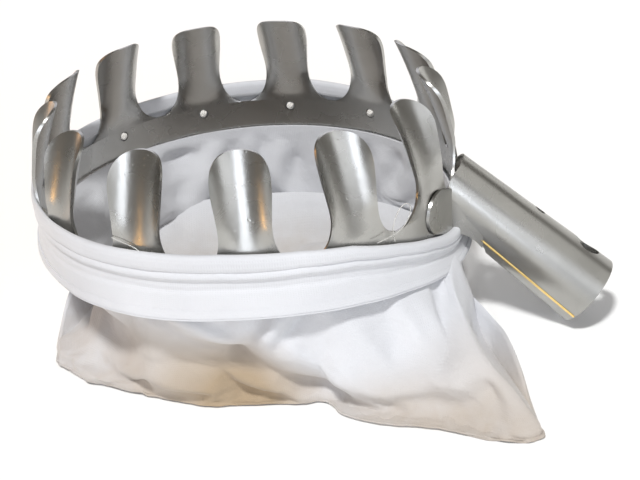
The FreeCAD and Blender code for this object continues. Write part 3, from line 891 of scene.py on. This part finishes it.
    def sewn(self) -> bpy.types.Object:
        """Make both panels and sew them into one cloth, with the panels kept apart by slot."""
        cuts = {Side.FRONT: (255.0, 70.0), Side.BACK: (290.0, 200.0)}
        rows = {Side.FRONT: self.wall_rows, Side.BACK: self.wall_rows + self.base_rows}
        places = {Side.FRONT: self.front_point, Side.BACK: self.back_point}
        panels = []
        for index, side in enumerate(Side):
            panel = cloth_grid(side.value, self.columns, rows[side], cuts[side],
                               lambda u, v, place=places[side]: place(u, 1 - v))
            for label in Side:
                panel.data.materials.append(bpy.data.materials.get(label.value)
                                            or bpy.data.materials.new(label.value))
            for face in panel.data.polygons:
                face.material_index = index
            panels.append(panel)
        pick(panels[0])
        panels[1].select_set(True)
        bpy.ops.object.join()
        tidy_mesh(panels[0], 0.05)
        return panels[0]

    def grip(self, point: Vector) -> float:
        """How firmly the cloth is held at a point, from 0 to 1."""
        height = point.z / MM
        if height > self.held_above:
            return 1.0
        if height < self.rests_below:
            return self.rest_grip
        return self.slack_grip + self.neck_grip * smooth((height - self.held_above + 6) / 6)

    def settle(self, bag: bpy.types.Object) -> None:
        """Let the slightly oversized cloth buckle into wrinkles, then keep it near its shape.

        Args:
            bag: The sewn cloth.
        """
        before = [vertex.co.copy() for vertex in bag.data.vertices]
        held = bag.vertex_groups.new(name="held")
        for vertex in bag.data.vertices:
            held.add([vertex.index], self.grip(vertex.co), "REPLACE")
        pick(bag)
        cloth = bag.modifiers.new("Cloth", "CLOTH")
        cloth.settings.quality = 6
        cloth.settings.mass = 0.12
        cloth.settings.tension_stiffness = cloth.settings.compression_stiffness = 25
        cloth.settings.shear_stiffness = 8
        cloth.settings.bending_stiffness = 0.25
        cloth.settings.air_damping = 3
        cloth.settings.vertex_group_mass = "held"
        cloth.settings.pin_stiffness = 1.5
        cloth.settings.shrink_min = -self.growth
        cloth.collision_settings.use_collision = False
        cloth.point_cache.frame_end = self.frames
        for number in range(1, self.frames + 1):
            bpy.context.scene.frame_set(number)
        bpy.ops.object.modifier_apply(modifier=cloth.name)
        bpy.context.scene.frame_set(1)
        for vertex, start in zip(bag.data.vertices, before):
            step = vertex.co - start
            if step.length > self.travel * MM:
                vertex.co = start + step * (self.travel * MM / step.length)
            vertex.co.z = max(vertex.co.z, self.floor * MM)
        bag.vertex_groups.clear()

    def parted(self, bag: bpy.types.Object) -> dict[Side, bpy.types.Object]:
        """Cut the settled cloth along its seams into its two panels.

        Args:
            bag: The settled cloth.

        Returns:
            The panels by side.
        """
        apply_modifier(bag, "SUBSURF", levels=1, render_levels=1)
        pick(bag)
        bpy.ops.object.mode_set(mode="EDIT")
        bpy.ops.mesh.separate(type="MATERIAL")
        bpy.ops.object.mode_set(mode="OBJECT")
        pieces = {}
        for piece in list(bpy.context.selected_objects):
            side = Side(piece.data.materials[0].name)
            pieces[side] = piece
            piece.name = piece.data.name = side.value + "_panel_cloth"
            apply_modifier(piece, "SOLIDIFY", thickness=self.cloth * MM, offset=-1.0)
            smooth_shade(piece, 60)
        return pieces

    def build(self) -> None:
        """Make, settle and part the bag, and dress its panels."""
        bag = self.sewn()
        self.settle(bag)
        cotton = self.finish.material()
        pieces = self.parted(bag)
        finish_piece(pieces[Side.FRONT], cotton, ("bag_front_panel",))
        finish_piece(pieces[Side.BACK], cotton, ("bag_back_panel",))


# ------------------------------------------------------------------ lashing
@dataclass
class Lashing:
    """The knots in the crown's lacing holes and the two loose ends of nylon."""

    hole_drop: float = 3.1
    knot: float = 1.75
    strand: float = 0.62
    filament: float = 0.36
    loop_route: tuple[tuple[float, float, float], ...] = (
        (64.9, -50.2, 58.2), (64.4, -51.0, 62.2), (65.0, -50.4, 66.0), (66.6, -48.6, 69.8),
        (68.8, -45.8, 71.2), (70.3, -43.6, 69.0), (69.6, -44.8, 64.8), (67.0, -48.4, 61.6),
        (63.4, -53.0, 61.0), (59.9, -57.0, 60.9))
    tail_route: tuple[tuple[float, float, float], ...] = (
        (19.3, -78.4, 57.4), (14.0, -79.5, 58.2), (7.7, -80.3, 59.3), (1.4, -80.7, 60.0),
        (-4.9, -80.6, 60.7), (-10.1, -80.1, 61.8), (-13.2, -79.7, 63.2), (-16.0, -79.3, 65.0),
        (-18.4, -78.3, 67.0), (-21.0, -77.3, 68.5), (-24.6, -76.9, 69.8), (-28.6, -77.0, 71.9))

    def one_knot(self, number: int) -> bpy.types.Object:
        """Model a knot as three strands wound over one another.

        Args:
            number: The tooth that it sits under.

        Returns:
            The knot's mesh object.
        """
        angle = FIRST_TOOTH + number * TOOTH_PITCH
        centre = Vector((RING_RADIUS * math.cos(angle), RING_RADIUS * math.sin(angle),
                         GAP_LEVEL - self.hole_drop)) * MM
        deselect()
        strands = []
        for tilt, turn in ((0.0, 0.4), (1.1, 1.7), (2.1, 2.9)):
            bpy.ops.mesh.primitive_torus_add(
                location=centre, rotation=(math.pi / 2 + tilt, turn, angle), major_segments=20,
                minor_segments=8, major_radius=(self.knot - self.strand) * MM,
                minor_radius=self.strand * MM, generate_uvs=True)
            strands.append(bpy.context.object)
        pick(strands[0])
        for strand in strands[1:]:
            strand.select_set(True)
        bpy.ops.object.join()
        bpy.ops.object.transform_apply(location=True, rotation=True, scale=True)
        return strands[0]

    def knots(self) -> bpy.types.Object:
        """Make a knot for each hole that the socket's ears leave free."""
        made = [self.one_knot(number) for number in range(1, TOOTH_COUNT - 1)]
        pick(made[0])
        for knot in made[1:]:
            knot.select_set(True)
        bpy.ops.object.join()
        made[0].name = made[0].data.name = "lashing_knots_thread"
        smooth_shade(made[0], 60)
        return made[0]

    def loose_end(self, name: str, route: tuple[tuple[float, float, float], ...]) -> bpy.types.Object:
        """Lay a loose end of nylon along its route.

        Args:
            name: The piece's name.
            route: Control points in millimetres.

        Returns:
            The curve object.
        """
        data = bpy.data.curves.new(name, "CURVE")
        data.dimensions = "3D"
        data.bevel_depth = self.filament / 2 * MM
        data.bevel_resolution = 3
        data.resolution_u = 8
        data.use_fill_caps = True
        spline = data.splines.new("NURBS")
        spline.points.add(len(route) - 1)
        for point, place in zip(spline.points, route):
            point.co = (*(value * MM for value in place), 1)
        spline.order_u = 3
        spline.use_endpoint_u = True
        piece = bpy.data.objects.new(name, data)
        bpy.context.collection.objects.link(piece)
        return piece

    def build(self) -> None:
        """Make the knots and lay the two loose ends."""
        finish_piece(self.knots(), TwistedThread().material(), ("lashing_knots",))
        nylon = ClearNylon().material()
        for name, route, length in (("loop", self.loop_route, 0.0395), ("tail", self.tail_route, 0.0515)):
            end = self.loose_end("nylon_thread_" + name, route)
            finish_piece(end, nylon, ("thread_" + name,))


# ------------------------------------------------------------------ studio
@dataclass
class Studio:
    """Pale floor, soft daylight, two low warm lamps, and the camera."""

    floor_colour: str = "#FEFEFD"
    sensor: float = 36.0
    lens: float = 79.73
    camera_place: tuple[float, float, float] = (139.4, -486.1, 283.2)
    camera_axes: tuple[tuple[float, float, float], ...] = (
        (0.9793, -0.0143, 0.2022), (0.1863, 0.4559, -0.8703), (-0.0798, 0.8899, 0.4491))

    def floor(self) -> None:
        """Lay a wide plain floor under the bag."""
        deselect()
        bpy.ops.mesh.primitive_plane_add(size=12)
        floor = bpy.context.object
        floor.name = "studio_floor"
        material, tree = new_material("matt_white_paper")
        close_surface(tree, {"Base Color": linear(self.floor_colour), "Roughness": 1.0,
                      "Specular IOR Level": 0.0})
        floor.data.materials.append(material)

    def light(self, name: str, place: tuple[float, float, float], size: tuple[float, float],
              power: float, colour: str, aim: tuple[float, float, float] = (0, 0, 60)) -> None:
        """Hang a rectangular soft light aimed at a point.

        Args:
            name: The light's name.
            place: Its centre in millimetres.
            size: Its width and height in millimetres.
            power: Watts.
            colour: sRGB hex.
            aim: The point that it faces, in millimetres.
        """
        data = bpy.data.lights.new(name, "AREA")
        data.shape = "RECTANGLE"
        data.size, data.size_y = size[0] * MM, size[1] * MM
        data.energy = power
        data.color = linear(colour)[:3]
        lamp = bpy.data.objects.new(name, data)
        bpy.context.collection.objects.link(lamp)
        lamp.location = Vector(place) * MM
        lamp.rotation_euler = (Vector(aim) - Vector(place)).to_track_quat("-Z", "Y").to_euler()

    def sun(self, name: str, direction: tuple[float, float, float], strength: float,
            spread: float, colour: str) -> None:
        """Add an even far light, coming from a direction."""
        data = bpy.data.lights.new(name, "SUN")
        data.energy = strength
        data.angle = math.radians(spread)
        data.color = linear(colour)[:3]
        lamp = bpy.data.objects.new(name, data)
        bpy.context.collection.objects.link(lamp)
        lamp.rotation_euler = (-Vector(direction)).to_track_quat("-Z", "Y").to_euler()

    def lights(self) -> None:
        """Hang the lights: daylight from the front, right and back, two small warm lamps at the left."""
        self.sun("key_sun", (-0.05, -0.5, 0.87), 2.45, 7, "#FFFFFF")
        self.light("cool_window", (230, -1050, 400), (480, 620), 3.2, "#EEF4FF")
        self.light("right_window", (700, -640, 330), (640, 330), 1.0, "#F4F8FF")
        self.light("upper_right_window", (806, -70, 590), (900, 420), 0.9, "#F6F6F4", (100, 0, 60))
        self.light("side_window", (620, 860, 240), (560, 400), 0.6, "#F6F6F4")
        self.light("low_warm_lamp", (-450, -536, 45), (60, 40), 0.12, "#FFBE5E", (0, -60, 70))
        self.light("far_warm_lamp", (-600, 220, 200), (260, 260), 0.6, "#E0A25C", (0, -60, 80))
        self.light("back_fill", (-200, 1000, 600), (700, 500), 1.4, "#F2F4FF")

    def world(self) -> None:
        """Surround the set with a warm, fairly dim room."""
        world = bpy.data.worlds.new("warm_room")
        bpy.context.scene.world = world
        world.use_nodes = True
        world.node_tree.nodes.clear()
        glow = add_node(world.node_tree, "Background", {"Color": linear("#D8D2CA"), "Strength": 0.27})
        add_node(world.node_tree, "OutputWorld", None, {"Surface": glow.outputs[0]})

    def camera(self) -> None:
        """Place the camera."""
        data = bpy.data.cameras.new("camera")
        data.lens, data.sensor_width = self.lens, self.sensor
        data.clip_start, data.clip_end = 0.01, 50
        camera = bpy.data.objects.new("camera", data)
        bpy.context.collection.objects.link(camera)
        turn = Matrix(self.camera_axes).to_4x4()
        camera.matrix_world = Matrix.Translation(Vector(self.camera_place) * MM) @ turn
        bpy.context.scene.camera = camera

    def build(self) -> None:
        """Set up the whole studio."""
        self.floor()
        self.lights()
        self.world()
        self.camera()
        bpy.context.scene.view_settings.view_transform = "Standard"


def main() -> None:
    """Build the basket in order, then the studio."""
    logging.basicConfig(level=logging.INFO, format="%(name)s: %(message)s")
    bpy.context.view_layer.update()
    Steelwork().build()
    Cuff().build()
    CatchingBag().build()
    Lashing().build()
    Studio().build()


if __name__ == "__main__":
    main()
